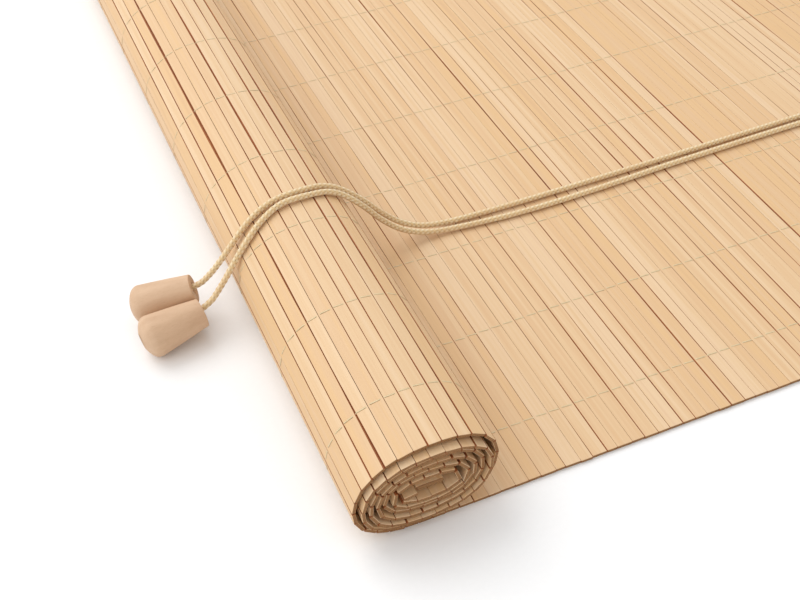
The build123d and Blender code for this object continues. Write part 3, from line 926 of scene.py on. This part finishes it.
def strand_rings(points):
    """A flat oval of vertices round each point of a strand."""
    tangents = np.gradient(points[:, [0, 2]], axis=0)
    tangents /= np.linalg.norm(tangents, axis=1)[:, None]
    up = np.stack([-tangents[:, 1], np.zeros(len(points)), tangents[:, 0]], axis=1)
    sideways = np.array([0.0, 1.0, 0.0])
    angles = np.arange(THREAD_SIDES) * 2 * pi / THREAD_SIDES
    return (
        points[:, None, :]
        + up[:, None, :] * (THREAD_HALF_HEIGHT * np.sin(angles))[None, :, None]
        + sideways * (THREAD_HALF_WIDTH * np.cos(angles))[None, :, None]
    )


def warp_strands(name, node, side):
    """One strand of every warp line, which starts over (1) or under (-1) the mat."""
    vertices = []
    faces = []
    first = 0
    for line in range(THREAD_COUNT):
        rng = np.random.default_rng(THREAD_SEED + line)
        middle = (line - (THREAD_COUNT - 1) / 2) * THREAD_PITCH
        rings = strand_rings(strand_points(middle, side, rng))
        quads, caps = tube_faces(len(rings), THREAD_SIDES, first)
        faces += quads + caps
        first += len(rings) * THREAD_SIDES
        vertices.append(rings.reshape(-1, 3))
    piece = make_piece(name, np.concatenate(vertices), faces, [THREAD])
    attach(piece, "blind")
    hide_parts(node)


warp_strands("warp_strands_over", "over_threads", 1)
warp_strands("warp_strands_under", "under_threads", -1)


# Head batten and bottom lath: boards with softly rounded edges
BATTEN_EDGE = 0.9 * MM
LATH_EDGE = 0.5 * MM
EDGE_STEPS = 4


def rounded_board(name, low, high, edge, material):
    """A board between two corners, with its edges rounded."""
    builder = bmesh.new()
    bmesh.ops.create_cube(builder, size=1)
    size = high - low
    middle = (high + low) / 2
    for vertex in builder.verts:
        vertex.co = middle + Vector(s * c for s, c in zip(size, vertex.co))
    bmesh.ops.bevel(
        builder,
        geom=builder.edges[:],
        offset=edge,
        segments=EDGE_STEPS,
        profile=0.5,
        affect="EDGES",
    )
    mesh = bpy.data.meshes.new(name)
    builder.to_mesh(mesh)
    builder.free()
    mesh.materials.append(material)
    mesh.polygons.foreach_set("use_smooth", [False] * len(mesh.polygons))
    piece = bpy.data.objects.new(name, mesh)
    bpy.context.scene.collection.objects.link(piece)
    return piece


board = rounded_board("planed_head_batten", *batten, BATTEN_EDGE, PLAIN_WOOD)
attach(board, "blind")
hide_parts("head_batten")

core_lath = rounded_board("bamboo_bottom_lath", *lath, LATH_EDGE, LATH)
core_lath.data.materials.append(LATH_END)
# the lath's sawn ends take the end colour, which holds painted shade
for polygon in core_lath.data.polygons:
    if abs(polygon.normal.y) > 0.5:
        polygon.material_index = 1
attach(core_lath, "blind")
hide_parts("bottom_lath")

# CAD nodes that stay, each with its finish
FINISHES = {
    "hanging_plate_far": PLATE_ZINC,
    "hanging_plate_near": PLATE_ZINC,
    "pair_pulley_cover": PLATE_ZINC,
    "lone_pulley_cover": PLATE_ZINC,
    "plate_screws": SCREW_ZINC,
    "cover_screws": SCREW_ZINC,
    "wheel_pins": SCREW_ZINC,
    "pair_pulley_box": BOX_PLASTIC,
    "lone_pulley_box": BOX_PLASTIC,
    "pulley_wheel_near": WHEEL_PLASTIC,
    "pulley_wheel_far": WHEEL_PLASTIC,
    "pulley_wheel_lone": WHEEL_PLASTIC,
    "eyelets": BRASS,
    "cord_knot_far": COTTON,
    "cord_knot_near": COTTON,
}
for node, material in FINISHES.items():
    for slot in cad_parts[node].material_slots:
        slot.material = material


# Floor, lights and sky
FLOOR_HALF = 4.0
SKY_STRENGTH = 0.84
corners = [(x * FLOOR_HALF, y * FLOOR_HALF, 0) for x, y in ((-1, -1), (1, -1), (1, 1), (-1, 1))]
floor = make_piece("floor", corners, [(0, 1, 2, 3)], [floor_paper()])


def soft_box(name, place, aim, size, power):
    """A square area light, aimed at a point."""
    light = bpy.data.lights.new(name, "AREA")
    light.shape = "SQUARE"
    light.size = size
    light.energy = power
    holder = bpy.data.objects.new(name, light)
    holder.location = place
    holder.rotation_euler = (Vector(aim) - Vector(place)).to_track_quat("-Z", "Y").to_euler()
    bpy.context.scene.collection.objects.link(holder)


soft_box("key", (-1.1, 1.5, 2.3), aim=(-0.3, 0.0, 0.0), size=2.2, power=38)
soft_box("fill", (-2.2, -0.1, 1.5), aim=(-0.4, 0.0, 0.0), size=1.8, power=10)

world = bpy.data.worlds.new("studio")
world.use_nodes = True
sky = world.node_tree.nodes["Background"]
sky.inputs["Color"].default_value = (1, 1, 1, 1)
sky.inputs["Strength"].default_value = SKY_STRENGTH
bpy.context.scene.world = world
bpy.context.scene.view_settings.view_transform = "Standard"
